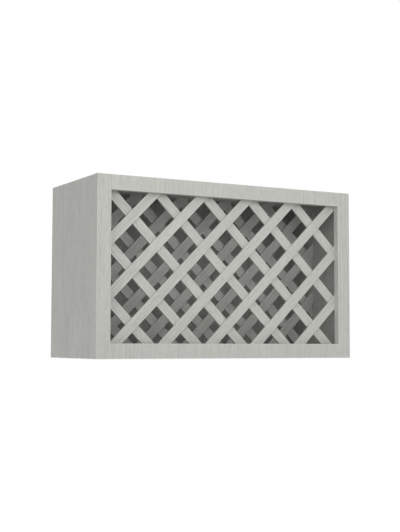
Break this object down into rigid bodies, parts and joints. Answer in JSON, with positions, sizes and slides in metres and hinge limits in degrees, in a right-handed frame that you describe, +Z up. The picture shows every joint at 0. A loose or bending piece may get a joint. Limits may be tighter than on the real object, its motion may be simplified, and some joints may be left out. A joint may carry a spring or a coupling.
{
  "type": "wine rack wall cabinet",
  "caption": "Wall cabinet box with a face frame around a diagonal lattice, and a second lattice halfway in, for storing bottles lying down.",
  "frame": {"origin": "bottom centre of the whole cabinet, midway between the front of the face frame and the wall", "axes": "X to the right along the front, Y from the front towards the wall, Z up"},
  "size_m": [0.762, 0.3048, 0.4572],
  "materials": {
    "frame_paint": "satin paint over wood with a faint upright grain",
    "side_paint": "satin paint over plywood",
    "front_lattice_paint": "satin paint over wood strips",
    "rear_lattice_paint": "satin paint over wood strips",
    "inside_paint": "satin paint over plywood",
    "back_paint": "satin paint over thin plywood",
    "rail_wood": "bare plywood",
    "dowel_wood": "bare beech",
    "brad_steel": "bright steel"
  },
  "bodies": {
    "root": {"stile_left": "frame_paint", "stile_right": "frame_paint", "rail_top": "frame_paint", "rail_bottom": "frame_paint", "side_panel_left": "side_paint", "side_panel_right": "side_paint", "top_panel": "inside_paint", "bottom_panel": "inside_paint", "back_panel": "back_paint", "hanging_rail_top": "rail_wood", "hanging_rail_bottom": "rail_wood", "frame_dowels": "dowel_wood", "hanging_rail_dowels": "dowel_wood", "front_lattice_brads": "brad_steel", "rear_lattice_brads": "brad_steel", "rear_lattice_end_brads": "brad_steel", "front_rising_strip_left_1": "front_lattice_paint", "front_rising_strip_left_2": "front_lattice_paint", "front_rising_strip_left_3": "front_lattice_paint", "front_rising_strip_right_1": "front_lattice_paint", "front_rising_strip_right_2": "front_lattice_paint", "front_rising_strip_right_3": "front_lattice_paint", "front_rising_strip_centre": "front_lattice_paint", "front_rising_strip_left_4": "front_lattice_paint", "front_falling_strip_left_1": "front_lattice_paint", "front_falling_strip_left_2": "front_lattice_paint", "front_falling_strip_left_3": "front_lattice_paint", "front_falling_strip_right_1": "front_lattice_paint", "front_falling_strip_right_2": "front_lattice_paint", "front_falling_strip_right_3": "front_lattice_paint", "front_falling_strip_centre": "front_lattice_paint", "front_falling_strip_right_4": "front_lattice_paint", "rear_rising_strip_left_1": "rear_lattice_paint", "rear_rising_strip_left_2": "rear_lattice_paint", "rear_rising_strip_left_3": "rear_lattice_paint", "rear_rising_strip_right_1": "rear_lattice_paint", "rear_rising_strip_right_2": "rear_lattice_paint", "rear_rising_strip_right_3": "rear_lattice_paint", "rear_rising_strip_centre": "rear_lattice_paint", "rear_rising_strip_left_4": "rear_lattice_paint", "rear_falling_strip_left_1": "rear_lattice_paint", "rear_falling_strip_left_2": "rear_lattice_paint", "rear_falling_strip_left_3": "rear_lattice_paint", "rear_falling_strip_right_1": "rear_lattice_paint", "rear_falling_strip_right_2": "rear_lattice_paint", "rear_falling_strip_right_3": "rear_lattice_paint", "rear_falling_strip_centre": "rear_lattice_paint", "rear_falling_strip_right_4": "rear_lattice_paint"}
  },
  "joints": []
}
